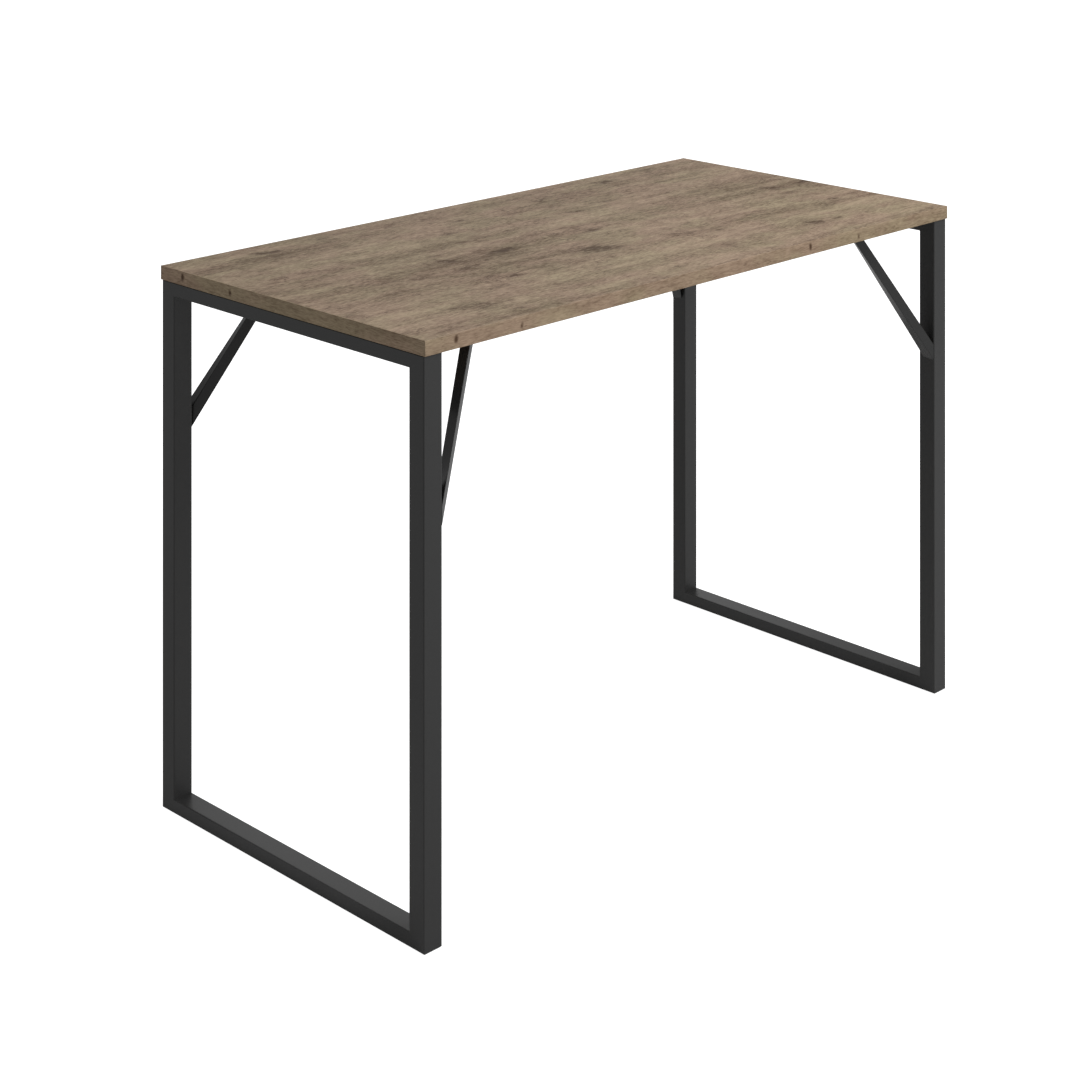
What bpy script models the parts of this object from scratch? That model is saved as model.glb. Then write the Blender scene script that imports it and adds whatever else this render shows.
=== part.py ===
"""Desk with a wood-decor board on two welded loop frames, each leg braced to the board by a strut.

Metres, +Z up. X runs along the board, -Y is the front, and the origin is on the floor under the
middle of the board. The frames are bolted up into threaded inserts in the board. Each strut is
welded to its leg below and to a small plate above, and the plate is screwed to the board.
"""

import math

import bmesh
import bpy
from mathutils import Matrix, Vector

X_AXIS = 0
Y_AXIS = 1
Z_AXIS = 2
GAP = 0.0003  # clearance between pieces that touch

# Board: a faced panel with an edge band on each of its four edges.
BOARD_LENGTH = 1.100
BOARD_DEPTH = 0.550
BOARD_THICKNESS = 0.0195
EDGE_BAND = 0.001
BAND_ROUNDING = 0.0005

# Frames: one closed loop of rectangular tube at each end of the board, mitred at its corners.
FRAME_HEIGHT = 0.7355
END_INSET = 0.0004
FRONT_INSET = 0.0029
TUBE_WIDTH = 0.031
LEG_DEPTH = 0.028
RAIL_HEIGHT = 0.019
TUBE_WALL = 0.0012
TUBE_RADIUS = 0.0016
TUBE_CORNER_SEGMENTS = 2
MITRE_GAP = 0.0003

# Glides: plastic buttons pressed into the bottom rails.
GLIDE_HEAD_RADIUS = 0.010
GLIDE_HEAD_HEIGHT = 0.0015
GLIDE_STEM_RADIUS = 0.0037
GLIDE_STEM_LENGTH = 0.007
GLIDE_FROM_END = 0.055

# Struts. Each end is four corners: front top, back top, back bottom, front bottom.
# The leg end is (inwards from the leg's outer face, below the board). The board end is
# (inwards from the leg's inner face, inwards from its outer face).
STRUT_LEG_END = ((0.0005, 0.1915), (0.0155, 0.1920), (0.0205, 0.2145), (0.0005, 0.2160))
STRUT_BOARD_END = ((0.115, 0.066), (0.107, 0.076), (0.1185, 0.0875), (0.130, 0.075))
STRUT_WALL = 0.0012
STRUT_SEGMENTS = 8
STRUT_OVERRUN = 0.15  # of its length, trimmed off again at both ends

# Strut plates and their wood screws.
PLATE_LENGTH = 0.060
PLATE_WIDTH = 0.030
PLATE_THICKNESS = 0.0025
PLATE_CORNER = 0.004
PLATE_TURN = math.radians(30.0)
SCREW_SPACING = 0.046
SCREW_RADIUS = 0.002
SCREW_HEAD_RADIUS = 0.004
SCREW_HEAD_HEIGHT = 0.0022
SCREW_DEPTH_IN_BOARD = 0.0125

# Frame bolts and the threaded inserts that they reach.
BOLT_SPACING = 0.180
BOLTS_PER_FRAME = 3
BOLT_RADIUS = 0.003
BOLT_HEAD_RADIUS = 0.006
BOLT_HEAD_HEIGHT = 0.0035
BOLT_DEPTH_IN_BOARD = 0.0105
HEX_KEY_RADIUS = 0.0023
HEX_KEY_DEPTH = 0.002
INSERT_RADIUS = 0.005
INSERT_LENGTH = 0.013

# Worked out from the sizes above.
BOARD_UNDERSIDE = GLIDE_HEAD_HEIGHT + GAP + FRAME_HEIGHT
BOARD_TOP = BOARD_UNDERSIDE + BOARD_THICKNESS
FRAME_BOTTOM = GLIDE_HEAD_HEIGHT + GAP
FRAME_TOP = BOARD_UNDERSIDE - GAP
FRAME_OUTER_X = BOARD_LENGTH / 2 - END_INSET
FRAME_OUTER_Y = BOARD_DEPTH / 2 - FRONT_INSET
LEG_INNER_X = FRAME_OUTER_X - TUBE_WIDTH
FRAME_MIDDLE_X = FRAME_OUTER_X - TUBE_WIDTH / 2
PLATE_BOTTOM = BOARD_UNDERSIDE - GAP - PLATE_THICKNESS
ROUND_SIDES = 24
SIDES = {"left": -1, "right": 1}
ENDS = {"front": -1, "back": 1}


def clear_scene():
    for thing in list(bpy.data.objects):
        bpy.data.objects.remove(thing, do_unlink=True)


def new_collection(name):
    collection = bpy.data.collections.new(name)
    bpy.context.scene.collection.children.link(collection)
    return collection


def new_material(name, colour, roughness, metallic=0.0):
    material = bpy.data.materials.new(name)
    material.use_nodes = True
    shader = material.node_tree.nodes["Principled BSDF"]
    shader.inputs["Base Color"].default_value = (*colour, 1.0)
    shader.inputs["Roughness"].default_value = roughness
    shader.inputs["Metallic"].default_value = metallic
    material.diffuse_color = (*colour, 1.0)
    return material


clear_scene()
PARTS = new_collection("writing_desk")
CUTTERS = new_collection("cutters")
CUTTERS.hide_render = True
DECOR = new_material("aged oak melamine", (0.235, 0.175, 0.125), 0.5)
BANDING = new_material("oak edge band", (0.265, 0.200, 0.145), 0.5)
COATING = new_material("charcoal powder coat", (0.035, 0.036, 0.038), 0.45)
ZINC = new_material("zinc plated steel", (0.55, 0.56, 0.58), 0.35, 1.0)
PLASTIC = new_material("black polyethylene", (0.02, 0.02, 0.02), 0.6)


def piece_from(bm, name, material):
    """Puts a bmesh in the scene as one named part, shaded smooth with its corners kept sharp."""
    mesh = bpy.data.meshes.new(name)
    bm.to_mesh(mesh)
    bm.free()
    mesh.materials.append(material)
    mesh.shade_smooth()
    mesh.set_sharp_from_angle(angle=math.radians(35.0))
    piece = bpy.data.objects.new(name, mesh)
    PARTS.objects.link(piece)
    return piece


def block(low, high):
    """A bmesh box between two corners."""
    bm = bmesh.new()
    bmesh.ops.create_cube(bm, size=1.0)
    low = Vector(low)
    size = Vector(high) - low
    for vert in bm.verts:
        vert.co = low + Vector((c + 0.5) * s for c, s in zip(vert.co, size))
    return bm


def runs_along(edge, axis):
    return abs((edge.verts[1].co - edge.verts[0].co).normalized()[axis]) > 0.99


def cutter_from(bm, name):
    mesh = bpy.data.meshes.new(name)
    bm.to_mesh(mesh)
    bm.free()
    cutter = bpy.data.objects.new(name, mesh)
    cutter.hide_render = True
    cutter.display_type = "WIRE"
    CUTTERS.objects.link(cutter)
    return cutter


def rod_cutter(name, centre, radius, bottom, top, sides=ROUND_SIDES):
    bm = bmesh.new()
    bmesh.ops.create_cone(
        bm, cap_ends=True, segments=sides, radius1=radius, radius2=radius, depth=top - bottom
    )
    bmesh.ops.translate(bm, verts=bm.verts, vec=(centre[0], centre[1], (bottom + top) / 2))
    return cutter_from(bm, name)


def cut(piece, cutters):
    for cutter in cutters:
        modifier = piece.modifiers.new("cut_" + cutter.name, "BOOLEAN")
        modifier.operation = "DIFFERENCE"
        modifier.solver = "EXACT"
        modifier.object = cutter


def turned(name, centre, profile, material, steps=ROUND_SIDES):
    """A turned piece: its profile of (radius, height) runs down the outer side, spun about Z."""
    bm = bmesh.new()
    verts = [bm.verts.new((radius, 0.0, height)) for radius, height in profile]
    for upper, lower in zip(verts, verts[1:]):
        bm.edges.new((upper, lower))
    piece = piece_from(bm, name, material)
    piece.location = centre
    screw = piece.modifiers.new("turn", "SCREW")
    screw.steps = steps
    screw.render_steps = steps
    screw.use_merge_vertices = True
    screw.merge_threshold = 0.00001
    return piece


def bolt_points():
    """(frame name, row number, x, y) of each frame bolt."""
    first = -BOLT_SPACING * (BOLTS_PER_FRAME - 1) / 2
    for side, sign in SIDES.items():
        for number in range(BOLTS_PER_FRAME):
            yield side, number + 1, sign * FRAME_MIDDLE_X, first + number * BOLT_SPACING


def plate_places():
    """(corner name, x sign, y sign, centre x, centre y, turn) of each strut plate."""
    inwards_x = sum(x for x, y in STRUT_BOARD_END) / len(STRUT_BOARD_END)
    inwards_y = sum(y for x, y in STRUT_BOARD_END) / len(STRUT_BOARD_END)
    for side, sx in SIDES.items():
        for end, sy in ENDS.items():
            x = sx * (LEG_INNER_X - inwards_x)
            y = sy * (FRAME_OUTER_Y - inwards_y)
            yield f"{end}_{side}", sx, sy, x, y, sx * sy * PLATE_TURN


def screw_points():
    """(corner name, number, x, y) of each plate screw, on the plate's long line."""
    for corner, sx, sy, x, y, turn in plate_places():
        for number, along in enumerate((-SCREW_SPACING / 2, SCREW_SPACING / 2), start=1):
            yield corner, number, x - along * math.sin(turn), y + along * math.cos(turn)


def glide_points():
    """(corner name, x, y) of each glide."""
    for side, sx in SIDES.items():
        for end, sy in ENDS.items():
            yield f"{end}_{side}", sx * FRAME_MIDDLE_X, sy * (FRAME_OUTER_Y - GLIDE_FROM_END)


def make_board():
    """The panel, drilled from below for its inserts and screws, and its four edge bands."""
    half_length = BOARD_LENGTH / 2
    half_depth = BOARD_DEPTH / 2
    inner_x = half_length - EDGE_BAND - GAP
    inner_y = half_depth - EDGE_BAND - GAP
    panel = piece_from(
        block((-inner_x, -inner_y, BOARD_UNDERSIDE), (inner_x, inner_y, BOARD_TOP)),
        "board_panel",
        DECOR,
    )
    below = BOARD_UNDERSIDE - 0.005
    holes = [
        rod_cutter(
            f"insert_hole_{side}_{number}",
            (x, y),
            INSERT_RADIUS + GAP,
            below,
            BOARD_UNDERSIDE + INSERT_LENGTH + GAP,
        )
        for side, number, x, y in bolt_points()
    ]
    holes += [
        rod_cutter(
            f"screw_hole_{corner}_{number}",
            (x, y),
            SCREW_RADIUS + GAP,
            below,
            BOARD_UNDERSIDE + SCREW_DEPTH_IN_BOARD + GAP,
            sides=16,
        )
        for corner, number, x, y in screw_points()
    ]
    cut(panel, holes)

    # The long bands cover the ends of the short ones.
    bands = {
        "edge_band_front": ((-half_length, -half_depth), (half_length, -half_depth + EDGE_BAND)),
        "edge_band_back": ((-half_length, half_depth - EDGE_BAND), (half_length, half_depth)),
        "edge_band_left": ((-half_length, -inner_y), (-half_length + EDGE_BAND, inner_y)),
        "edge_band_right": ((half_length - EDGE_BAND, -inner_y), (half_length, inner_y)),
    }
    for name, (low, high) in bands.items():
        bm = block((*low, BOARD_UNDERSIDE), (*high, BOARD_TOP))
        bm.normal_update()
        outer = [
            edge
            for edge in bm.edges
            if not runs_along(edge, Z_AXIS)
            and all(
                abs(vert.co.x) > half_length - 1e-6 or abs(vert.co.y) > half_depth - 1e-6
                for vert in edge.verts
            )
            and edge.calc_length() > 2 * EDGE_BAND
        ]
        on_face = [
            edge
            for edge in outer
            if all(abs(vert.co.y) > half_depth - 1e-6 for vert in edge.verts)
            or name in ("edge_band_left", "edge_band_right")
        ]
        bmesh.ops.bevel(
            bm, geom=on_face, offset=BAND_ROUNDING, segments=2, profile=0.5, affect="EDGES"
        )
        piece_from(bm, name, BANDING)


def tube(low, high, axis):
    """A hollow rectangular tube along one axis, with rounded long edges and open ends."""
    bm = block(low, high)
    long_edges = [edge for edge in bm.edges if runs_along(edge, axis)]
    bmesh.ops.bevel(
        bm,
        geom=long_edges,
        offset=TUBE_RADIUS,
        segments=TUBE_CORNER_SEGMENTS,
        profile=0.5,
        affect="EDGES",
    )
    bm.normal_update()
    ends = [face for face in bm.faces if abs(face.normal[axis]) > 0.99]
    bmesh.ops.inset_individual(bm, faces=ends, thickness=TUBE_WALL, use_even_offset=True)
    rims = [edge for face in ends for edge in face.edges]
    bmesh.ops.delete(bm, geom=ends, context="FACES_ONLY")
    bmesh.ops.bridge_loops(bm, edges=rims)
    bmesh.ops.recalc_face_normals(bm, faces=bm.faces)
    return bm


def mitre(bm, axis, sy, sz, is_rail):
    """Slides the vertices at one end of a tube along it, onto the corner's mitre plane."""
    outer_corner = Vector((0.0, sy * FRAME_OUTER_Y, FRAME_TOP if sz > 0 else FRAME_BOTTOM))
    to_rail = Vector((0.0, -sy * RAIL_HEIGHT, sz * LEG_DEPTH)).normalized()
    point = outer_corner + to_rail * (MITRE_GAP / 2 if is_rail else -MITRE_GAP / 2)
    end_value = outer_corner[axis]
    at_end = [vert for vert in bm.verts if abs(vert.co[axis] - end_value) < 1e-6]
    for vert in at_end:
        away = point - Vector((0.0, vert.co.y, vert.co.z))
        vert.co[axis] += away.dot(to_rail) / to_rail[axis]


def make_frame(side, sx):
    """One loop frame: two legs and two rails, mitred at the corners where they are welded."""
    near_x, far_x = sorted((sx * LEG_INNER_X, sx * FRAME_OUTER_X))
    for end, sy in ENDS.items():
        low_y, high_y = sorted((sy * FRAME_OUTER_Y, sy * (FRAME_OUTER_Y - LEG_DEPTH)))
        bm = tube((near_x, low_y, FRAME_BOTTOM), (far_x, high_y, FRAME_TOP), Z_AXIS)
        mitre(bm, Z_AXIS, sy, 1, is_rail=False)
        mitre(bm, Z_AXIS, sy, -1, is_rail=False)
        piece_from(bm, f"leg_{end}_{side}", COATING)

    for level, sz in (("top", 1), ("bottom", -1)):
        low_z = FRAME_TOP - RAIL_HEIGHT if sz > 0 else FRAME_BOTTOM
        bm = tube(
            (near_x, -FRAME_OUTER_Y, low_z), (far_x, FRAME_OUTER_Y, low_z + RAIL_HEIGHT), Y_AXIS
        )
        for sy in ENDS.values():
            mitre(bm, Y_AXIS, sy, sz, is_rail=True)
        rail = piece_from(bm, f"rail_{level}_{side}", COATING)
        if level == "top":
            cut(rail, bolt_holes(side))
        else:
            cut(rail, glide_holes(side))


def bolt_holes(side):
    return [
        rod_cutter(
            f"bolt_hole_{side}_{number}",
            (x, y),
            BOLT_RADIUS + GAP,
            FRAME_TOP - RAIL_HEIGHT - 0.005,
            FRAME_TOP + 0.005,
        )
        for bolt_side, number, x, y in bolt_points()
        if bolt_side == side
    ]


def glide_holes(side):
    return [
        rod_cutter(
            f"glide_hole_{corner}",
            (x, y),
            GLIDE_STEM_RADIUS + GAP,
            FRAME_BOTTOM - 0.005,
            FRAME_BOTTOM + RAIL_HEIGHT / 2,
        )
        for corner, x, y in glide_points()
        if corner.endswith(side)
    ]


def make_glides():
    for corner, x, y in glide_points():
        profile = [
            (0.0, GLIDE_HEAD_HEIGHT + GLIDE_STEM_LENGTH),
            (GLIDE_STEM_RADIUS * 0.8, GLIDE_HEAD_HEIGHT + GLIDE_STEM_LENGTH),
            (GLIDE_STEM_RADIUS, GLIDE_HEAD_HEIGHT + GLIDE_STEM_LENGTH * 0.85),
            (GLIDE_STEM_RADIUS, GLIDE_HEAD_HEIGHT),
            (GLIDE_HEAD_RADIUS, GLIDE_HEAD_HEIGHT),
            (GLIDE_HEAD_RADIUS - 0.0004, 0.0),
            (0.0, 0.0),
        ]
        turned(f"glide_{corner}", (x, y, 0.0), profile, PLASTIC)


def make_strut(corner, sx, sy, trims):
    """A hollow four-sided strut, lofted between its leg end and its board end, then trimmed."""
    at_leg = [
        Vector((sx * LEG_INNER_X, sy * (FRAME_OUTER_Y - y), BOARD_UNDERSIDE - drop))
        for y, drop in STRUT_LEG_END
    ]
    at_board = [
        Vector((sx * (LEG_INNER_X - x), sy * (FRAME_OUTER_Y - y), BOARD_UNDERSIDE))
        for x, y in STRUT_BOARD_END
    ]
    corner_of = {(0, 1): 0, (1, 1): 1, (1, 0): 2, (0, 0): 3}
    bm = block((0.0, 0.0, 0.0), (1.0, 1.0, 1.0))
    long_edges = [edge for edge in bm.edges if runs_along(edge, X_AXIS)]
    bmesh.ops.subdivide_edges(bm, edges=long_edges, cuts=STRUT_SEGMENTS - 1, use_grid_fill=True)
    bm.normal_update()
    ends = [face for face in bm.faces if abs(face.normal.x) > 0.99]
    for vert in bm.verts:
        number = corner_of[(round(vert.co.y), round(vert.co.z))]
        along = vert.co.x * (1 + 2 * STRUT_OVERRUN) - STRUT_OVERRUN
        vert.co = at_leg[number].lerp(at_board[number], along)
    if bm.calc_volume(signed=True) < 0:
        bmesh.ops.reverse_faces(bm, faces=bm.faces)
    bmesh.ops.delete(bm, geom=ends, context="FACES_ONLY")
    strut = piece_from(bm, f"strut_{corner}", COATING)
    wall = strut.modifiers.new("wall", "SOLIDIFY")
    wall.thickness = STRUT_WALL * math.sqrt(2.0)  # measured across a square corner
    wall.offset = -1.0
    cut(strut, trims)


def make_struts():
    trim_top = cutter_from(
        block((-0.6, -0.4, PLATE_BOTTOM - GAP), (0.6, 0.4, PLATE_BOTTOM + 0.2)), "trim_top"
    )
    trim_leg = {
        1: cutter_from(block((LEG_INNER_X - GAP, -0.4, 0.3), (0.8, 0.4, 0.9)), "trim_right"),
        -1: cutter_from(block((-0.8, -0.4, 0.3), (-LEG_INNER_X + GAP, 0.4, 0.9)), "trim_left"),
    }
    for corner, sx, sy, x, y, turn in plate_places():
        make_strut(corner, sx, sy, [trim_leg[sx], trim_top])


def make_plates():
    """The small plates on top of the struts, each with two screw holes."""
    for corner, sx, sy, x, y, turn in plate_places():
        half = Vector((PLATE_WIDTH / 2, PLATE_LENGTH / 2, 0.0))
        bm = block(-half, half + Vector((0.0, 0.0, PLATE_THICKNESS)))
        upright = [edge for edge in bm.edges if runs_along(edge, Z_AXIS)]
        bmesh.ops.bevel(
            bm, geom=upright, offset=PLATE_CORNER, segments=4, profile=0.5, affect="EDGES"
        )
        place = Matrix.Translation((x, y, PLATE_BOTTOM)) @ Matrix.Rotation(turn, 4, "Z")
        bmesh.ops.transform(bm, matrix=place, verts=bm.verts)
        plate = piece_from(bm, f"strut_plate_{corner}", COATING)
        cut(
            plate,
            [
                rod_cutter(
                    f"plate_hole_{corner}_{number}",
                    (hole_x, hole_y),
                    SCREW_RADIUS + GAP,
                    PLATE_BOTTOM - 0.005,
                    BOARD_UNDERSIDE + 0.005,
                    sides=16,
                )
                for hole_corner, number, hole_x, hole_y in screw_points()
                if hole_corner == corner
            ],
        )


def make_plate_screws():
    """Pan-head wood screws, up through the plates into the board."""
    head_top = PLATE_BOTTOM - GAP
    tip = BOARD_UNDERSIDE + SCREW_DEPTH_IN_BOARD - head_top
    profile = [
        (0.0, tip),
        (SCREW_RADIUS * 0.9, tip - 0.003),
        (SCREW_RADIUS, tip - 0.004),
        (SCREW_RADIUS, 0.0),
        (SCREW_HEAD_RADIUS, 0.0),
        (SCREW_HEAD_RADIUS, -SCREW_HEAD_HEIGHT * 0.4),
        (SCREW_HEAD_RADIUS * 0.75, -SCREW_HEAD_HEIGHT * 0.85),
        (SCREW_HEAD_RADIUS * 0.4, -SCREW_HEAD_HEIGHT),
        (0.0, -SCREW_HEAD_HEIGHT),
    ]
    for corner, number, x, y in screw_points():
        turned(f"plate_screw_{corner}_{number}", (x, y, head_top), profile, ZINC, steps=16)


def make_bolts():
    """Hex-socket bolts, up through both walls of the top rails into the inserts."""
    head_top = FRAME_TOP - RAIL_HEIGHT - GAP
    tip = BOARD_UNDERSIDE + BOLT_DEPTH_IN_BOARD - head_top
    profile = [
        (0.0, tip),
        (BOLT_RADIUS * 0.8, tip),
        (BOLT_RADIUS, tip - 0.0006),
        (BOLT_RADIUS, 0.0),
        (BOLT_HEAD_RADIUS, 0.0),
        (BOLT_HEAD_RADIUS, -BOLT_HEAD_HEIGHT * 0.3),
        (BOLT_HEAD_RADIUS * 0.85, -BOLT_HEAD_HEIGHT * 0.75),
        (BOLT_HEAD_RADIUS * 0.6, -BOLT_HEAD_HEIGHT),
        (0.0, -BOLT_HEAD_HEIGHT),
    ]
    for side, number, x, y in bolt_points():
        bolt = turned(f"frame_bolt_{side}_{number}", (x, y, head_top), profile, ZINC)
        bottom = head_top - BOLT_HEAD_HEIGHT
        socket = rod_cutter(
            f"hex_socket_{side}_{number}",
            (x, y),
            HEX_KEY_RADIUS,
            bottom - 0.002,
            bottom + HEX_KEY_DEPTH,
            sides=6,
        )
        cut(bolt, [socket])


def make_inserts():
    """Threaded inserts in the board, level with its underside."""
    bore = BOLT_RADIUS + GAP
    profile = [
        (bore, INSERT_LENGTH),
        (INSERT_RADIUS, INSERT_LENGTH),
        (INSERT_RADIUS, 0.0),
        (bore, 0.0),
        (bore, INSERT_LENGTH),
    ]
    for side, number, x, y in bolt_points():
        turned(f"threaded_insert_{side}_{number}", (x, y, BOARD_UNDERSIDE), profile, ZINC)


make_board()
for side_name, side_sign in SIDES.items():
    make_frame(side_name, side_sign)
make_glides()
make_struts()
make_plates()
make_plate_screws()
make_bolts()
make_inserts()
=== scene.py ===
"""A desk: an aged-oak decor board on two powder-coated steel loop frames with slanted struts."""

import math

import bmesh
import bpy
from mathutils import Matrix, Vector


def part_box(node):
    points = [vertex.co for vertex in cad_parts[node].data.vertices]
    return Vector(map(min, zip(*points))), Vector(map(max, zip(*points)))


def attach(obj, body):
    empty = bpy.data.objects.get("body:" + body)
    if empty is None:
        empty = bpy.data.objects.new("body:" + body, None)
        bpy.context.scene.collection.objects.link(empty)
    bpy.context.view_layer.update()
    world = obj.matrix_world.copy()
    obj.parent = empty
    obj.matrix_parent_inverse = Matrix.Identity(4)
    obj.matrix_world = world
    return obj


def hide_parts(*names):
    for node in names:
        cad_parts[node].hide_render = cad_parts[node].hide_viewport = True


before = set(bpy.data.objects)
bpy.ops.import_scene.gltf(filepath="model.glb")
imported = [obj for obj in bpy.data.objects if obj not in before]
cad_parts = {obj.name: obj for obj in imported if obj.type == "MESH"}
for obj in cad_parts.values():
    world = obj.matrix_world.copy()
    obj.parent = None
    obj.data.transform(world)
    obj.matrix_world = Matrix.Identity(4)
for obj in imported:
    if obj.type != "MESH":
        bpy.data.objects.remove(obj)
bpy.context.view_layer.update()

MM = 0.001
CLOSE = 0.001 * MM  # places that differ by less than this are the same place
SIDES = ("left", "right")
CORNERS = ("front_left", "front_right", "back_left", "back_right")

BOARD_LOW, BOARD_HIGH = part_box("board_panel")
BAND_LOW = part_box("edge_band_front")[0]
BAND_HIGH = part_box("edge_band_back")[1]
LEG_LOW, LEG_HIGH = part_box("leg_front_left")
RAIL_LOW, RAIL_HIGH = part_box("rail_bottom_left")
LEG_DEPTH = LEG_HIGH.y - LEG_LOW.y
RAIL_HEIGHT = RAIL_HIGH.z - RAIL_LOW.z


# Camera and light

CAMERA_PLACE = (-2.4493, -2.3764, 1.5277)
CAMERA_HEADING = math.radians(45.04)  # from the X axis towards the Y axis
CAMERA_DOWN_SLOPE = 0.3587  # how far it looks down for each metre ahead
LENS_MM = 81.63
SENSOR_MM = 36.0

# Light levels. The room and the floor always look white to the camera, whatever they give.
ROOM_LIGHT = 0.36
FLOOR_GREY = 0.5
FLOOR_SIZE = 80.0
FLOOR_GLOSSY_GLOW = 0.14  # extra light that only reflections in the frames and struts pick up

# The softboxes: name, place, what it is aimed at, size in metres, watts.
SOFTBOXES = (
    ("key", (1.6, -2.8, 3.3), (0.0, 0.0, 0.5), 2.4, 146.0),
    ("left_fill", (-2.6, 1.5, 1.3), (-0.55, 0.2, 0.4), 1.2, 4.5),
    ("back_sheen", (3.6, 4.2, 1.9), (0.0, 0.0, 0.4), 2.6, 18.0),
)


def place_camera():
    """An upright camera, as on a studio stand, that looks down at the desk with its back vertical.

    The tilt is a shear: the picture's up stays the room's up, so that uprights stay parallel.
    """
    forward = Vector((math.cos(CAMERA_HEADING), math.sin(CAMERA_HEADING), 0.0))
    right = Vector((forward.y, -forward.x, 0.0))
    up = Vector((0.0, 0.0, 1.0))
    stretch = math.sqrt(1.0 + CAMERA_DOWN_SLOPE**2)
    backward = -(forward - CAMERA_DOWN_SLOPE * up) / stretch
    sheared = Matrix((right, up, backward)).transposed().to_4x4()
    sheared.translation = CAMERA_PLACE

    stand = bpy.data.objects.new("camera_stand", None)
    camera = bpy.data.objects.new("camera", bpy.data.cameras.new("camera"))
    for thing in (stand, camera):
        bpy.context.scene.collection.objects.link(thing)
    camera.data.lens = LENS_MM
    camera.data.sensor_width = SENSOR_MM
    camera.data.clip_end = 100.0
    camera.parent = stand
    camera.matrix_parent_inverse = sheared
    bpy.context.scene.camera = camera


def softbox(name, place, aim, size, watts):
    """A square area light that the camera doesn't see."""
    light = bpy.data.objects.new(name, bpy.data.lights.new(name, "AREA"))
    light.data.shape = "SQUARE"
    light.data.size = size
    light.data.energy = watts
    light.location = place
    light.rotation_euler = (Vector(aim) - Vector(place)).to_track_quat("-Z", "Y").to_euler()
    light.visible_camera = False
    bpy.context.scene.collection.objects.link(light)


def add(tree, kind, inputs=None, **settings):
    """Adds a node with its settings. An input is a value, or the node or socket linked to it."""
    node = tree.nodes.new("ShaderNode" + kind)
    for key, value in settings.items():
        setattr(node, key, value)
    for key, value in (inputs or {}).items():
        if isinstance(value, bpy.types.Node):
            value = value.outputs[0]
        if isinstance(value, bpy.types.NodeSocket):
            tree.links.new(value, node.inputs[key])
        else:
            node.inputs[key].default_value = value
    return node


def linear(hex_colour):
    """An sRGB hex colour as linear RGBA."""
    parts = [int(hex_colour[i : i + 2], 16) / 255 for i in (1, 3, 5)]
    turned = [c / 12.92 if c <= 0.04045 else ((c + 0.055) / 1.055) ** 2.4 for c in parts]
    return (*turned, 1.0)


def light_studio():
    """A pale floor, an even grey room, a large softbox high in front and two weaker ones."""
    world = bpy.data.worlds.new("studio")
    bpy.context.scene.world = world
    world.use_nodes = True
    tree = world.node_tree
    tree.nodes.clear()
    seen = add(tree, "LightPath").outputs["Is Camera Ray"]
    strength = add(
        tree, "Math", {0: seen, 1: 1.0 - ROOM_LIGHT, 2: ROOM_LIGHT}, operation="MULTIPLY_ADD"
    )
    paper = add(tree, "Background", {"Color": (1.0, 1.0, 1.0, 1.0), "Strength": strength})
    add(tree, "OutputWorld", {"Surface": paper})

    bpy.ops.object.select_all(action="DESELECT")
    bpy.ops.mesh.primitive_plane_add(size=FLOOR_SIZE)
    floor = bpy.context.object
    floor.name = "floor"
    matt = bpy.data.materials.new("white painted floor")
    matt.use_nodes = True
    tree = matt.node_tree
    shader = tree.nodes["Principled BSDF"]
    shader.inputs["Base Color"].default_value = (FLOOR_GREY, FLOOR_GREY, FLOOR_GREY, 1.0)
    shader.inputs["Roughness"].default_value = 1.0
    shader.inputs["Specular IOR Level"].default_value = 0.0
    shader.inputs["Emission Color"].default_value = (1.0, 1.0, 1.0, 1.0)
    rays = add(tree, "LightPath").outputs
    glow = add(
        tree, "Math", {0: rays["Is Glossy Ray"], 1: FLOOR_GLOSSY_GLOW}, operation="MULTIPLY"
    )
    glow = add(tree, "Math", {0: rays["Is Camera Ray"], 1: glow}, operation="ADD")
    tree.links.new(glow.outputs[0], shader.inputs["Emission Strength"])
    floor.data.materials.append(matt)
    for name, place, aim, size, watts in SOFTBOXES:
        softbox(name, place, aim, size, watts)


# Materials


def new_material(name, roughness, metallic=0.0, ior=1.5):
    """A material with its Principled BSDF set to a finish's own constant values."""
    material = bpy.data.materials.new(name)
    material.use_nodes = True
    shader = material.node_tree.nodes["Principled BSDF"]
    shader.inputs["Roughness"].default_value = roughness
    shader.inputs["Metallic"].default_value = metallic
    shader.inputs["IOR"].default_value = ior
    return material, material.node_tree, shader


# The knots of the printed oak: from the board's left end, from its back edge, length and width
# in mm, then the tilt in degrees and how dark they are.
KNOTS = (
    (148, 45, 46, 17, -8, 0.60),
    (262, 35, 50, 34, 60, 0.30),
    (418, 140, 19, 11, 0, 0.40),
    (485, 88, 36, 17, 10, 0.34),
    (583, 80, 9, 46, 0, 0.30),
    (678, 75, 38, 15, 35, 0.34),
    (657, 168, 30, 15, 0, 0.55),
    (500, 190, 26, 11, 0, 0.34),
    (118, 175, 22, 10, 0, 0.30),
    (302, 265, 54, 26, -40, 0.46),
    (405, 270, 58, 17, 8, 0.60),
    (585, 275, 40, 14, 5, 0.50),
    (300, 312, 46, 11, 5, 0.34),
    (380, 292, 96, 22, 0, 0.26),
    (505, 360, 92, 44, -15, 0.50),
    (478, 412, 28, 15, 0, 0.28),
    (313, 390, 21, 13, 0, 0.52),
    (262, 415, 84, 15, 18, 0.28),
    (158, 475, 68, 36, -20, 0.42),
    (210, 482, 17, 11, 0, 0.40),
    (655, 480, 22, 52, 0, 0.26),
    (503, 515, 22, 10, 0, 0.36),
    (198, 520, 17, 10, 0, 0.42),
    (692, 300, 9, 60, 0, 0.24),
    (722, 343, 24, 10, 10, 0.36),
    (720, 404, 20, 26, 20, 0.30),
)
PRINT_REPEAT = 705 * MM  # the decor paper's pattern comes round again at this length
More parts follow.
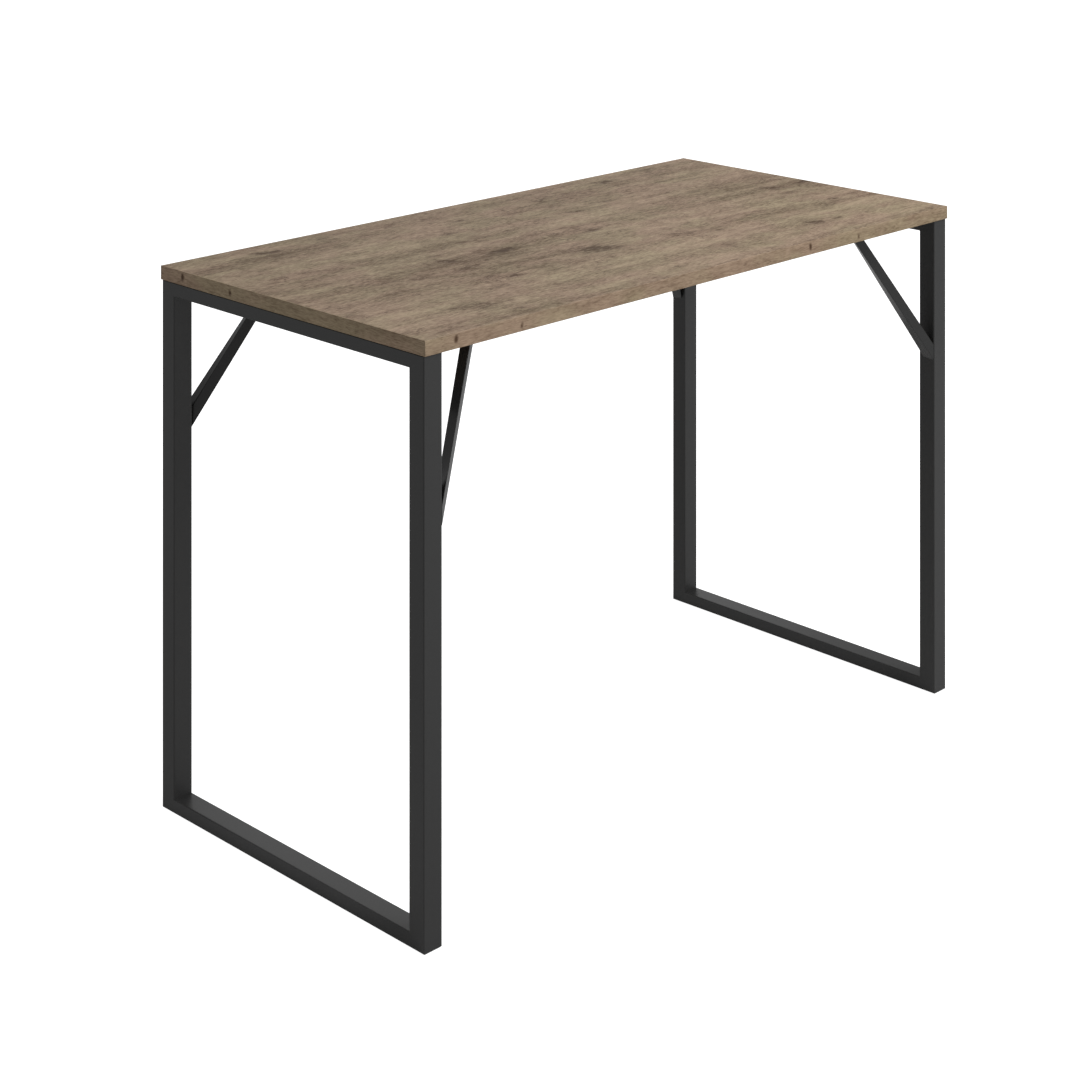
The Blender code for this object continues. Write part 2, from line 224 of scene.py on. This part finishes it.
PRINT_START = 80 * MM  # where on the board one whole repeat of it starts

OAK_DARK = "#66533F"
OAK_MIDDLE = "#968471"
OAK_LIGHT = "#B5A28C"
OAK_PINKISH = "#FFF7F3"  # these two tint the three colours above, patch by patch
OAK_OLIVE = "#F9FAEE"
KNOT_COLOUR = "#3C2309"

# The print's layers: how long and how wide a cell is in mm, detail, roughness, seed. Real oak
# fibres are finer than the ones here, which are as coarse as they need to be to show.
GRAIN_LAYERS = {
    "bands": (420, 45, 3.0, 0.55, 3.1),
    "clouds": (90, 45, 2.0, 0.5, 7.7),
    "mottle": (35, 16, 4.0, 0.65, 17.9),
    "streaks": (50, 3.6, 4.0, 0.6, 11.3),
    "fibres": (10, 1.6, 2.0, 0.6, 5.9),
    "scratches": (14, 4.0, 3.0, 0.6, 23.1),
    "splinters": (14, 4.0, 4.0, 0.7, 41.3),
    "cracks": (34, 13, 4.0, 0.6, 61.7),
    "cracked places": (75, 40, 2.0, 0.5, 83.1),
}
# How much of the tone each layer gives. They add up to 1, so that the middle tone stays at 0.5.
TONE_SHARES = {"bands": 0.22, "mottle": 0.18, "streaks": 0.22, "fibres": 0.38}
DARK_REACH = 0.092  # how far below the middle tone the print is at its darkest
LIGHT_REACH = 0.098
FIBRE_WANDER = (12 * MM, 16 * MM, 0.0)
KNOT_TEAR = (60 * MM, 26 * MM, 0.0)  # how far a knot's outline is torn about
KNOT_SPREAD = 0.85  # a knot fades out at this much of its length and width from its middle
KNOT_STRENGTH = 2.3  # how many times their own darkness they have at the middle
SPLINTER_STRENGTH = 2.6
MARK_TEAR = (4 * MM, 4 * MM, 4 * MM)
MARK_SPREAD = 0.8
MARK_STRENGTH = 2.2
MARK_DARKEST = 0.88
PORE_DEPTH = 0.2 * MM

# The print's broad bands across the board: mm from the back edge, then how much lighter it is.
BROAD_BANDS = (
    (0, 0.10),
    (50, -0.30),
    (130, 0.10),
    (250, -0.45),
    (370, 0.05),
    (480, 0.50),
    (550, 0.10),
)
BROAD_BAND_STRENGTH = 0.09

# Marks on the edge bands: mm from the band's start, mm above its bottom, width, height, darkness.
FRONT_MARKS = (
    (52, 12, 6, 9, 0.62),
    (167, 8, 5, 7, 0.42),
    (300, 13, 22, 3, 0.16),
    (455, 8, 14, 4, 0.14),
    (610, 12, 8, 5, 0.20),
    (757, 12, 6, 9, 0.62),
    (872, 8, 5, 7, 0.42),
    (1005, 13, 22, 3, 0.16),
)
SIDE_MARKS = (
    (51, 12, 6, 9, 0.62),
    (158, 9, 6, 8, 0.52),
    (291, 13, 20, 3, 0.18),
    (420, 8, 12, 4, 0.16),
)


def grain(tree, point, layer, lengthwise=0):
    """A layer of noise drawn out along the grain, which follows X (0) or Y (1)."""
    along, across, detail, roughness, seed = GRAIN_LAYERS[layer]
    scale = [1.0 / (across * MM)] * 3
    scale[lengthwise] = 1.0 / (along * MM)
    drawn = add(tree, "Mapping", {"Vector": point, "Location": (seed, seed, seed), "Scale": scale})
    return add(
        tree,
        "TexNoise",
        {"Vector": drawn, "Scale": 1.0, "Detail": detail, "Roughness": roughness},
    ).outputs[0]


def oak_print(name, lengthwise=0, knots=(), marks=(), shift=0.0, spread=1.0):
    """Aged-oak decor paper under a matt melamine film, with its pores pressed in.

    The eye sees a greyish brown, broad darker bands, fine fibres and smoky, ragged knots.
    shift makes the whole print lighter, and spread makes its tones closer together.
    """
    material, tree, shader = new_material(name, 0.6)
    shader.inputs["Specular IOR Level"].default_value = 0.22
    flat = add(tree, "TexCoord").outputs["Object"]

    # Fibres wander a few millimetres off the straight, in waves about 110 mm apart.
    wander = add(tree, "TexNoise", {"Vector": flat, "Scale": 9.0, "Detail": 2.0})
    point = torn(tree, flat, wander, FIBRE_WANDER)

    tone = shift
    for layer, share in TONE_SHARES.items():
        noise = grain(tree, point, layer, lengthwise)
        tone = add(tree, "Math", {0: noise, 1: share, 2: tone}, operation="MULTIPLY_ADD")
    if knots:
        tone = add(
            tree,
            "Math",
            {0: broad_bands(tree, flat), 1: BROAD_BAND_STRENGTH, 2: tone},
            operation="MULTIPLY_ADD",
        )
        tone = add(tree, "Math", {0: tone, 1: BROAD_BAND_STRENGTH / 2}, operation="SUBTRACT")
    ramp = add(tree, "ValToRGB", {"Fac": tone})
    ramp.color_ramp.elements[0].position = 0.5 - DARK_REACH * spread
    ramp.color_ramp.elements[0].color = linear(OAK_DARK)
    ramp.color_ramp.elements[1].position = 0.5 + LIGHT_REACH * spread
    ramp.color_ramp.elements[1].color = linear(OAK_LIGHT)
    middle = ramp.color_ramp.elements.new(0.50)
    middle.color = linear(OAK_MIDDLE)

    # Patches lean to pinkish brown or to olive.
    clouds = grain(tree, point, "clouds", lengthwise)
    patch = add(tree, "MapRange", {"Value": clouds, "From Min": 0.38, "From Max": 0.62})
    hue = add(
        tree,
        "Mix",
        {"Factor": patch, 6: linear(OAK_PINKISH), 7: linear(OAK_OLIVE)},
        data_type="RGBA",
    )
    colour = add(
        tree,
        "Mix",
        {"Factor": 1.0, 6: ramp, 7: hue.outputs[2]},
        data_type="RGBA",
        blend_type="MULTIPLY",
    ).outputs[2]

    # Open pores and fine checks, as short dark scratches along the grain.
    scratches = grain(tree, point, "scratches", lengthwise)
    dark = add(
        tree, "MapRange", {"Value": scratches, "From Min": 0.62, "From Max": 0.72, "To Max": 0.42}
    )
    if knots:
        shade = knot_shade(tree, point, knots)
        dark = add(tree, "Math", {0: dark, 1: shade}, operation="MAXIMUM")
    if marks:
        shade = mark_shade(tree, flat, lengthwise, marks)
        dark = add(tree, "Math", {0: dark, 1: shade}, operation="MAXIMUM")
    colour = add(
        tree,
        "Mix",
        {"Factor": dark, 6: colour, 7: linear(KNOT_COLOUR)},
        data_type="RGBA",
    ).outputs[2]
    tree.links.new(colour, shader.inputs["Base Color"])

    streaks = grain(tree, point, "streaks", lengthwise)
    shine = add(tree, "MapRange", {"Value": streaks, "To Min": 0.56, "To Max": 0.70})
    tree.links.new(shine.outputs[0], shader.inputs["Roughness"])
    fibres = grain(tree, point, "fibres", lengthwise)
    pores = add(tree, "Bump", {"Height": fibres, "Strength": 0.18, "Distance": PORE_DEPTH})
    tree.links.new(pores.outputs[0], shader.inputs["Normal"])
    return material


def torn(tree, point, noise, reach):
    """A point moved about by a noise's colour, by up to about half of reach metres either way."""
    offset = add(
        tree,
        "VectorMath",
        {0: noise.outputs["Color"], 1: (0.5, 0.5, 0.5)},
        operation="SUBTRACT",
    )
    offset = add(tree, "VectorMath", {0: offset, 1: reach}, operation="MULTIPLY")
    return add(tree, "VectorMath", {0: point, 1: offset}, operation="ADD").outputs[0]


def broad_bands(tree, point):
    """The slow change of tone across the board, from 0 to 1 with 0.5 as its middle."""
    depth = BAND_HIGH.y - BAND_LOW.y
    split = add(tree, "SeparateXYZ", {0: point})
    across = add(
        tree,
        "MapRange",
        {"Value": split.outputs[1], "From Min": BAND_HIGH.y, "From Max": BAND_LOW.y},
    )
    ramp = add(tree, "ValToRGB", {"Fac": across})
    ramp.color_ramp.interpolation = "EASE"
    for number, (back, lighter) in enumerate(BROAD_BANDS):
        place = back * MM / depth
        stops = ramp.color_ramp.elements
        if number == 0:
            stop = stops[0]
        elif number == len(BROAD_BANDS) - 1:
            stop = stops[len(stops) - 1]
        else:
            stop = stops.new(place)
        value = 0.5 + lighter / 2
        stop.color = (value, value, value, 1.0)
    return ramp


def knot_shade(tree, point, knots):
    """How dark the knots and cracks make the print, from 0 to 1. It repeats along the board."""
    # The outline is torn in cells about 18 mm across.
    ragged = add(
        tree, "TexNoise", {"Vector": point, "Scale": 55.0, "Detail": 5.0, "Roughness": 0.75}
    )
    split = add(tree, "SeparateXYZ", {0: torn(tree, point, ragged, KNOT_TEAR)})
    wrapped = add(
        tree,
        "Math",
        {
            0: split.outputs[0],
            1: BAND_LOW.x + PRINT_START + PRINT_REPEAT,
            2: BAND_LOW.x + PRINT_START,
        },
        operation="WRAP",
    )
    place = add(tree, "CombineXYZ", {0: wrapped, 1: split.outputs[1], 2: 0.0})
    smoke = None
    for start, back, length, width, tilt, darkness in knots:
        spot = add(
            tree,
            "Mapping",
            {
                "Vector": place,
                "Location": (BAND_LOW.x + start * MM, BAND_HIGH.y - back * MM, 0.0),
                "Rotation": (0.0, 0.0, math.radians(tilt)),
                "Scale": (length * MM * KNOT_SPREAD, width * MM * KNOT_SPREAD, 1.0),
            },
            vector_type="TEXTURE",
        )
        round_spot = add(tree, "TexGradient", {0: spot}, gradient_type="SPHERICAL")
        smoke = add(
            tree,
            "Math",
            {0: round_spot.outputs["Fac"], 1: darkness * KNOT_STRENGTH, 2: smoke if smoke else 0.0},
            operation="MULTIPLY_ADD",
        )
    # The dark core is broken up into splinters by a coarse fibre pattern.
    splinters = grain(tree, point, "splinters")
    core = add(
        tree,
        "Math",
        {0: splinters, 1: SPLINTER_STRENGTH, 2: smoke},
        operation="MULTIPLY_ADD",
    )
    core = add(
        tree, "MapRange", {"Value": core, "From Min": 1.66, "From Max": 2.30, "To Max": 0.82}
    )
    # Thin cracks wander near the knots and in a few other places.
    vein = grain(tree, point, "cracks")
    vein = add(tree, "Math", {0: vein, 1: 0.5}, operation="SUBTRACT")
    vein = add(tree, "Math", {0: vein}, operation="ABSOLUTE")
    vein = add(
        tree, "MapRange", {"Value": vein, "From Min": 0.026, "From Max": 0.005, "To Max": 0.62}
    )
    places = grain(tree, point, "cracked places")
    places = add(tree, "Math", {0: smoke, 1: 0.24, 2: places}, operation="MULTIPLY_ADD")
    places = add(tree, "MapRange", {"Value": places, "From Min": 0.54, "From Max": 0.66})
    cracks = add(tree, "Math", {0: vein, 1: places}, operation="MULTIPLY")
    haze = add(tree, "Math", {0: smoke, 1: 0.32}, operation="MULTIPLY", use_clamp=True)
    dark = add(tree, "Math", {0: core, 1: cracks}, operation="MAXIMUM")
    return add(tree, "Math", {0: dark, 1: haze}, operation="MAXIMUM")


def mark_shade(tree, point, lengthwise, marks):
    """Small knots cut through by the edge, as upright dark ticks and low smudges on a band."""
    # Their outlines are torn in cells about 4 mm across.
    ragged = add(tree, "TexNoise", {"Vector": point, "Scale": 260.0, "Detail": 3.0})
    split = add(tree, "SeparateXYZ", {0: torn(tree, point, ragged, MARK_TEAR)})
    place = add(tree, "CombineXYZ", {0: split.outputs[lengthwise], 1: split.outputs[2], 2: 0.0})
    dark = None
    for along, up, width, height, darkness in marks:
        # A side band is measured from its back end, a front band from its left end.
        start = BAND_HIGH.y - along * MM if lengthwise else BAND_LOW.x + along * MM
        spot = add(
            tree,
            "Mapping",
            {
                "Vector": place,
                "Location": (start, BAND_LOW.z + up * MM, 0.0),
                "Scale": (width * MM * MARK_SPREAD, height * MM * MARK_SPREAD, 1.0),
            },
            vector_type="TEXTURE",
        )
        round_spot = add(tree, "TexGradient", {0: spot}, gradient_type="SPHERICAL")
        dark = add(
            tree,
            "Math",
            {0: round_spot.outputs["Fac"], 1: darkness * MARK_STRENGTH, 2: dark if dark else 0.0},
            operation="MULTIPLY_ADD",
        )
    return add(tree, "Math", {0: dark, 1: MARK_DARKEST}, operation="MINIMUM")


def powder_coat(name, smoothest, roughest):
    """Charcoal polyester powder baked on steel: a satin skin with a very fine orange peel."""
    material, tree, shader = new_material(name, roughest)
    point = add(tree, "TexCoord").outputs["Object"]
    # Real peel is about 1 mm from crest to crest; it is drawn at 2.5 mm so that it shows.
    peel = add(tree, "TexNoise", {"Vector": point, "Scale": 1 / (2.5 * MM), "Detail": 2.0})
    # The coat's colour and sheen change slowly along a tube, over about 170 mm.
    cast = add(tree, "TexNoise", {"Vector": point, "Scale": 6.0, "Detail": 3.0})
    colour = add(
        tree,
        "Mix",
        {"Factor": cast.outputs[0], 6: linear("#242424"), 7: linear("#2B2B2B")},
        data_type="RGBA",
    )
    tree.links.new(colour.outputs[2], shader.inputs["Base Color"])
    shine = add(tree, "MapRange", {"Value": cast, "To Min": smoothest, "To Max": roughest})
    tree.links.new(shine.outputs[0], shader.inputs["Roughness"])
    bump = add(tree, "Bump", {"Height": peel.outputs[0], "Strength": 0.12, "Distance": 0.15 * MM})
    tree.links.new(bump.outputs[0], shader.inputs["Normal"])
    return material


def zinc():
    """Bright zinc plating on steel fasteners: cool and slightly cloudy."""
    material, tree, shader = new_material("bright zinc plated steel", 0.32, metallic=1.0)
    point = add(tree, "TexCoord").outputs["Object"]
    cloud = add(tree, "TexNoise", {"Vector": point, "Scale": 1 / (3 * MM), "Detail": 3.0})
    colour = add(
        tree,
        "Mix",
        {"Factor": cloud.outputs[0], 6: linear("#B4B7BA"), 7: linear("#D2D4D2")},
        data_type="RGBA",
    )
    tree.links.new(colour.outputs[2], shader.inputs["Base Color"])
    shine = add(tree, "MapRange", {"Value": cloud.outputs[0], "To Min": 0.25, "To Max": 0.42})
    tree.links.new(shine.outputs[0], shader.inputs["Roughness"])
    return material


def polyethylene():
    """Black moulded polyethylene: soft sheen with a fine spark-eroded grain."""
    material, tree, shader = new_material("black moulded polyethylene", 0.55, ior=1.51)
    point = add(tree, "TexCoord").outputs["Object"]
    texture = add(tree, "TexNoise", {"Vector": point, "Scale": 1 / (0.6 * MM), "Detail": 2.0})
    colour = add(
        tree,
        "Mix",
        {"Factor": texture.outputs[0], 6: linear("#1A1A1B"), 7: linear("#232324")},
        data_type="RGBA",
    )
    tree.links.new(colour.outputs[2], shader.inputs["Base Color"])
    bump = add(tree, "Bump", {"Height": texture.outputs[0], "Strength": 0.3, "Distance": 0.05 * MM})
    tree.links.new(bump.outputs[0], shader.inputs["Normal"])
    return material


COATING = powder_coat("charcoal powder coat on steel", smoothest=0.36, roughest=0.48)
STRUT_COATING = powder_coat(
    "smooth charcoal powder coat on drawn steel", smoothest=0.16, roughest=0.24
)
OAK = oak_print("aged oak decor", knots=KNOTS)
FRONT_BAND_OAK = oak_print("aged oak edge band", marks=FRONT_MARKS, shift=0.004, spread=1.9)
# The end bands are printed a little darker than the front and back ones. This is painted shade for
# the board's left end, which faces away from the key light, and the right end takes it too.
SHADED_SIDE_BAND_OAK = oak_print(
    "aged oak edge band end with painted shade", lengthwise=1, marks=SIDE_MARKS, shift=-0.010, spread=1.8
)
ZINC = zinc()
PLASTIC = polyethylene()


# Modelling by hand

SMOOTH_BELOW = math.radians(32.0)  # edges flatter than this shade smooth


def work_on(piece):
    """Makes a piece the only one selected."""
    bpy.ops.object.select_all(action="DESELECT")
    bpy.context.view_layer.objects.active = piece
    piece.select_set(True)


def cube(name, low, high):
    """A cube primitive between two corners, with its place in its mesh."""
    bpy.ops.object.select_all(action="DESELECT")
    low, high = Vector(low), Vector(high)
    bpy.ops.mesh.primitive_cube_add(size=1.0, location=(low + high) / 2)
    piece = bpy.context.object
    piece.scale = high - low
    bpy.ops.object.transform_apply(location=True, rotation=True, scale=True)
    piece.name = piece.data.name = name
    return piece


def disc(name, centre, radius, bottom, top, sides=48):
    """An upright cylinder primitive with its place in its mesh."""
    bpy.ops.object.select_all(action="DESELECT")
    middle = (centre[0], centre[1], (bottom + top) / 2)
    bpy.ops.mesh.primitive_cylinder_add(
        vertices=sides, radius=radius, depth=top - bottom, location=middle
    )
    bpy.ops.object.transform_apply(location=True, rotation=True, scale=True)
    piece = bpy.context.object
    piece.name = piece.data.name = name
    return piece


def pick(piece, wanted, kind="EDGE"):
    """Enters edit mode with only the edges or faces selected that wanted accepts."""
    work_on(piece)
    bpy.ops.object.mode_set(mode="EDIT")
    bpy.ops.mesh.select_mode(type=kind)
    bpy.ops.mesh.select_all(action="DESELECT")
    bm = bmesh.from_edit_mesh(piece.data)
    for element in bm.edges if kind == "EDGE" else bm.faces:
        element.select_set(wanted(element))
    bm.select_flush_mode()
    bmesh.update_edit_mesh(piece.data)


def object_mode():
    bpy.ops.object.mode_set(mode="OBJECT")


def runs(edge, axis):
    """Whether an edge runs along an axis."""
    return abs((edge.verts[1].co - edge.verts[0].co).normalized()[axis]) > 0.99


def lies_at(edge, height):
    """Whether an edge lies flat at a height."""
    return all(abs(vert.co.z - height) < CLOSE for vert in edge.verts)


def round_edges(piece, wanted, width, segments=3):
    """Rounds the edges that wanted accepts."""
    pick(piece, wanted)
    bpy.ops.mesh.bevel(offset=width, segments=segments, profile=0.5, affect="EDGES")
    object_mode()


def cut_with(piece, cutters):
    """Cuts the cutters out of a piece and removes them."""
    for cutter in cutters:
        work_on(piece)
        modifier = piece.modifiers.new("cut", "BOOLEAN")
        modifier.operation = "DIFFERENCE"
        modifier.solver = "EXACT"
        modifier.object = cutter
        bpy.ops.object.modifier_apply(modifier=modifier.name)
        bpy.data.objects.remove(cutter, do_unlink=True)


def finish_piece(piece, material, nodes):
    """Gives a piece its shading and finish, and hides the CAD nodes it stands for."""
    work_on(piece)
    bpy.ops.object.shade_smooth_by_angle(angle=SMOOTH_BELOW)
    # Large faces keep their own normals, so that only the rounded edges shade round.
    modifier = piece.modifiers.new("flat faces", "WEIGHTED_NORMAL")
    modifier.keep_sharp = True
    modifier.weight = 100
    bpy.ops.object.modifier_apply(modifier=modifier.name)
    piece.data.materials.clear()
    piece.data.materials.append(material)
    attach(piece, "root")
    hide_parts(*nodes)


def copy_of(node, name):
    """A copy of a CAD node with its triangles merged into faces, ready to be worked on."""
    piece = bpy.data.objects.new(name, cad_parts[node].data.copy())
    bpy.context.scene.collection.objects.link(piece)
    work_on(piece)
    bpy.ops.object.mode_set(mode="EDIT")
    bpy.ops.mesh.select_all(action="SELECT")
    bpy.ops.mesh.remove_doubles(threshold=0.01 * MM)
    bpy.ops.mesh.tris_convert_to_quads()
    object_mode()
    return piece


def close_slivers(piece):
    """Makes a piece's faces triangles and closes the slivers that trimming and rounding leave."""
    sliver = 0.02 * MM
    work_on(piece)
    bpy.ops.object.mode_set(mode="EDIT")
    bpy.ops.mesh.select_all(action="SELECT")
    bpy.ops.mesh.dissolve_degenerate(threshold=sliver)
    bpy.ops.mesh.quads_convert_to_tris()
    bpy.ops.mesh.dissolve_degenerate(threshold=sliver)
    object_mode()


# Frames, struts and board

TUBE_EDGE = 1.8 * MM  # the round of a loop's long edges
STRUT_EDGE = 0.9 * MM
BAND_EDGE = 0.6 * MM
PLATE_RIM = 0.3 * MM
BOLT_HOLE_RADIUS = 3.3 * MM
GLIDE_HOLE_RADIUS = 4.0 * MM
STRUT_LEAN_X = 0.56  # about how far a strut leans inwards for each metre up
STRUT_LEAN_Y = 0.32


def make_loop(side):
    """One welded loop of tube, mitred flush and drilled for bolts and glides."""
    front_low, front_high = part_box(f"leg_front_{side}")
    back_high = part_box(f"leg_back_{side}")[1]
    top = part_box(f"rail_top_{side}")[1].z
    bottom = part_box(f"rail_bottom_{side}")[0].z
    low = Vector((front_low.x, front_low.y, bottom))
    high = Vector((front_high.x, back_high.y, top))
    loop = cube(f"loop_frame_{side}", low, high)
    pick(loop, lambda face: abs(face.normal.x) > 0.9, "FACE")
    bpy.ops.mesh.inset(thickness=RAIL_HEIGHT, use_even_offset=True, use_individual=True)
    # The opening is then narrowed, because the legs are deeper than the rails are high.
    half = (high.y - low.y) / 2
    narrower = (half - LEG_DEPTH) / (half - RAIL_HEIGHT)
    bpy.ops.transform.resize(value=(1.0, narrower, 1.0), center_override=(low + high) / 2)
    bpy.ops.mesh.bridge_edge_loops()
    object_mode()
    round_edges(loop, lambda edge: runs(edge, 1) or runs(edge, 2), TUBE_EDGE)

    cutters = []
    for number in (1, 2, 3):
        bolt_low, bolt_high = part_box(f"frame_bolt_{side}_{number}")
        centre = (bolt_low + bolt_high) / 2
        cutters.append(disc("cutter", centre, BOLT_HOLE_RADIUS, bolt_low.z, bolt_high.z, 24))
    for end in ("front", "back"):
        glide_low, glide_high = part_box(f"glide_{end}_{side}")
        centre = (glide_low + glide_high) / 2
        hole_top = glide_high.z + 1 * MM
        cutters.append(disc("cutter", centre, GLIDE_HOLE_RADIUS, -2 * MM, hole_top, 24))
    cut_with(loop, cutters)
    nodes = [f"leg_front_{side}", f"leg_back_{side}", f"rail_top_{side}", f"rail_bottom_{side}"]
    finish_piece(loop, COATING, nodes)


def make_strut(corner):
    """A strut with its four long outer edges eased, as drawn tube has them."""
    strut = copy_of(f"strut_{corner}", f"bracing_strut_{corner}")
    inwards_x = -1.0 if "right" in corner else 1.0
    inwards_y = -1.0 if "back" in corner else 1.0
    line = Vector((STRUT_LEAN_X * inwards_x, STRUT_LEAN_Y * inwards_y, 1.0)).normalized()

    def long_outer(edge):
        if len(edge.link_faces) != 2 or not edge.is_convex:
            return False
        direction = (edge.verts[1].co - edge.verts[0].co).normalized()
        return abs(direction.dot(line)) > 0.95 and edge.calc_face_angle() > math.radians(35)

    round_edges(strut, long_outer, STRUT_EDGE)
    close_slivers(strut)
    finish_piece(strut, STRUT_COATING, [f"strut_{corner}"])


def make_bands():
    """Edge bands, glued tight to the panel, with their outer edges scraped round."""
    tight = 0.02 * MM
    corner_gap = 0.04 * MM
    low, high = BAND_LOW, BAND_HIGH
    inner_low, inner_high = BOARD_LOW, BOARD_HIGH
    side_front = inner_low.y + corner_gap
    side_back = inner_high.y - corner_gap
    boxes = {
        "front": ((low.x, low.y), (high.x, inner_low.y - tight)),
        "back": ((low.x, inner_high.y + tight), (high.x, high.y)),
        "left": ((low.x, side_front), (inner_low.x - tight, side_back)),
        "right": ((inner_high.x + tight, side_front), (high.x, side_back)),
    }
    for edge_name, (near, far) in boxes.items():
        band = cube(f"oak_band_{edge_name}", (*near, low.z), (*far, high.z))

        def outer(edge):
            middle = (edge.verts[0].co + edge.verts[1].co) / 2
            at_x = min(abs(middle.x - low.x), abs(middle.x - high.x)) < CLOSE
            at_y = min(abs(middle.y - low.y), abs(middle.y - high.y)) < CLOSE
            if edge_name in ("left", "right"):
                return at_x and runs(edge, 1)
            return at_y and (runs(edge, 0) or (at_x and runs(edge, 2)))

        round_edges(band, outer, BAND_EDGE)
        # The end bands take the print with painted shade.
        material = SHADED_SIDE_BAND_OAK if edge_name in ("left", "right") else FRONT_BAND_OAK
        finish_piece(band, material, [f"edge_band_{edge_name}"])


for side_name in SIDES:
    make_loop(side_name)
for corner_name in CORNERS:
    make_strut(corner_name)
make_bands()


# Fixings

BOLT_HEAD_HEIGHT = 3.5 * MM
BOLT_HEAD_ROUND = 2.6 * MM
BOLT_SHANK_RADIUS = 3 * MM
HEX_SOCKET_RADIUS = 2.3 * MM
HEX_SOCKET_DEPTH = 2 * MM

SCREW_HEAD_HEIGHT = 2.2 * MM
SCREW_HEAD_ROUND = 1.6 * MM
SCREW_SHANK_RADIUS = 2 * MM
CROSS_REACH = 2.2 * MM  # from the cross recess's middle to the end of an arm
CROSS_HALF_WIDTH = 0.45 * MM
CROSS_DEPTH = 1.3 * MM

GLIDE_HEAD_HEIGHT = 1.5 * MM
GLIDE_RIM = 0.6 * MM
GLIDE_STEM_RADIUS = 3.7 * MM


def raise_shank(piece, shoulder, length):
    """Draws a shank up out of a head's flat top, with a shoulder left round it."""
    pick(piece, lambda face: face.normal.z > 0.9, "FACE")
    bpy.ops.mesh.inset(thickness=shoulder)
    bpy.ops.mesh.extrude_region_move(TRANSFORM_OT_translate={"value": (0.0, 0.0, length)})
    object_mode()


def make_bolt(name, node):
    """A button-head bolt with a hex socket, its head round below and its shank up in the rail."""
    low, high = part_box(node)
    centre = (low + high) / 2
    radius = (high.x - low.x) / 2
    head_top = low.z + BOLT_HEAD_HEIGHT
    bolt = disc(name, centre, radius, low.z, head_top)
    raise_shank(bolt, radius - BOLT_SHANK_RADIUS, high.z - head_top)
    round_edges(bolt, lambda edge: lies_at(edge, low.z), BOLT_HEAD_ROUND, 6)
    socket_top = low.z + HEX_SOCKET_DEPTH
    cut_with(bolt, [disc("cutter", centre, HEX_SOCKET_RADIUS, low.z - 1 * MM, socket_top, 6)])
    finish_piece(bolt, ZINC, [node])


def make_screw(name, node):
    """A pan-head wood screw with a cross recess."""
    low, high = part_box(node)
    centre = (low + high) / 2
    radius = (high.x - low.x) / 2
    head_top = low.z + SCREW_HEAD_HEIGHT
    screw = disc(name, centre, radius, low.z, head_top, 32)
    raise_shank(screw, radius - SCREW_SHANK_RADIUS, high.z - head_top)
    round_edges(screw, lambda edge: lies_at(edge, low.z), SCREW_HEAD_ROUND, 5)
    arms = []
    for reach_x, reach_y in (
        (CROSS_REACH, CROSS_HALF_WIDTH),
        (CROSS_HALF_WIDTH, CROSS_REACH),
    ):
        reach = Vector((reach_x, reach_y, CROSS_DEPTH))
        middle = Vector((centre.x, centre.y, low.z))
        arms.append(cube("cutter", middle - reach, middle + reach))
    cut_with(screw, arms)
    finish_piece(screw, ZINC, [node])


def make_plate(corner):
    """A strut's top plate, with its lower rims eased."""
    plate = copy_of(f"strut_plate_{corner}", f"mounting_plate_{corner}")
    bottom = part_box(f"strut_plate_{corner}")[0].z

    def lower_rim(edge):
        is_square = len(edge.link_faces) == 2 and edge.calc_face_angle() > math.radians(60)
        return is_square and lies_at(edge, bottom)

    round_edges(plate, lower_rim, PLATE_RIM, 2)
    finish_piece(plate, COATING, [f"strut_plate_{corner}"])


def make_glide(corner):
    """A moulded button under a bottom rail, with its stem pressed into the tube."""
    node = f"glide_{corner}"
    low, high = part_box(node)
    centre = (low + high) / 2
    radius = (high.x - low.x) / 2
    head_top = low.z + GLIDE_HEAD_HEIGHT
    glide = disc(f"floor_glide_{corner}", centre, radius, low.z, head_top)
    raise_shank(glide, radius - GLIDE_STEM_RADIUS, high.z - head_top)
    round_edges(glide, lambda edge: lies_at(edge, low.z), GLIDE_RIM)
    finish_piece(glide, PLASTIC, [node])


for side_name in SIDES:
    for bolt_number in (1, 2, 3):
        node_name = f"frame_bolt_{side_name}_{bolt_number}"
        make_bolt(f"socket_bolt_{side_name}_{bolt_number}", node_name)
for corner_name in CORNERS:
    make_plate(corner_name)
    make_glide(corner_name)
    for screw_number in (1, 2):
        node_name = f"plate_screw_{corner_name}_{screw_number}"
        make_screw(f"wood_screw_{corner_name}_{screw_number}", node_name)

# The CAD nodes that still show keep their shape and take a finish.
for node_name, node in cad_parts.items():
    finish = OAK if node_name == "board_panel" else ZINC
    node.data.materials.clear()
    node.data.materials.append(finish)

bpy.context.scene.view_settings.view_transform = "Standard"
light_studio()
place_camera()
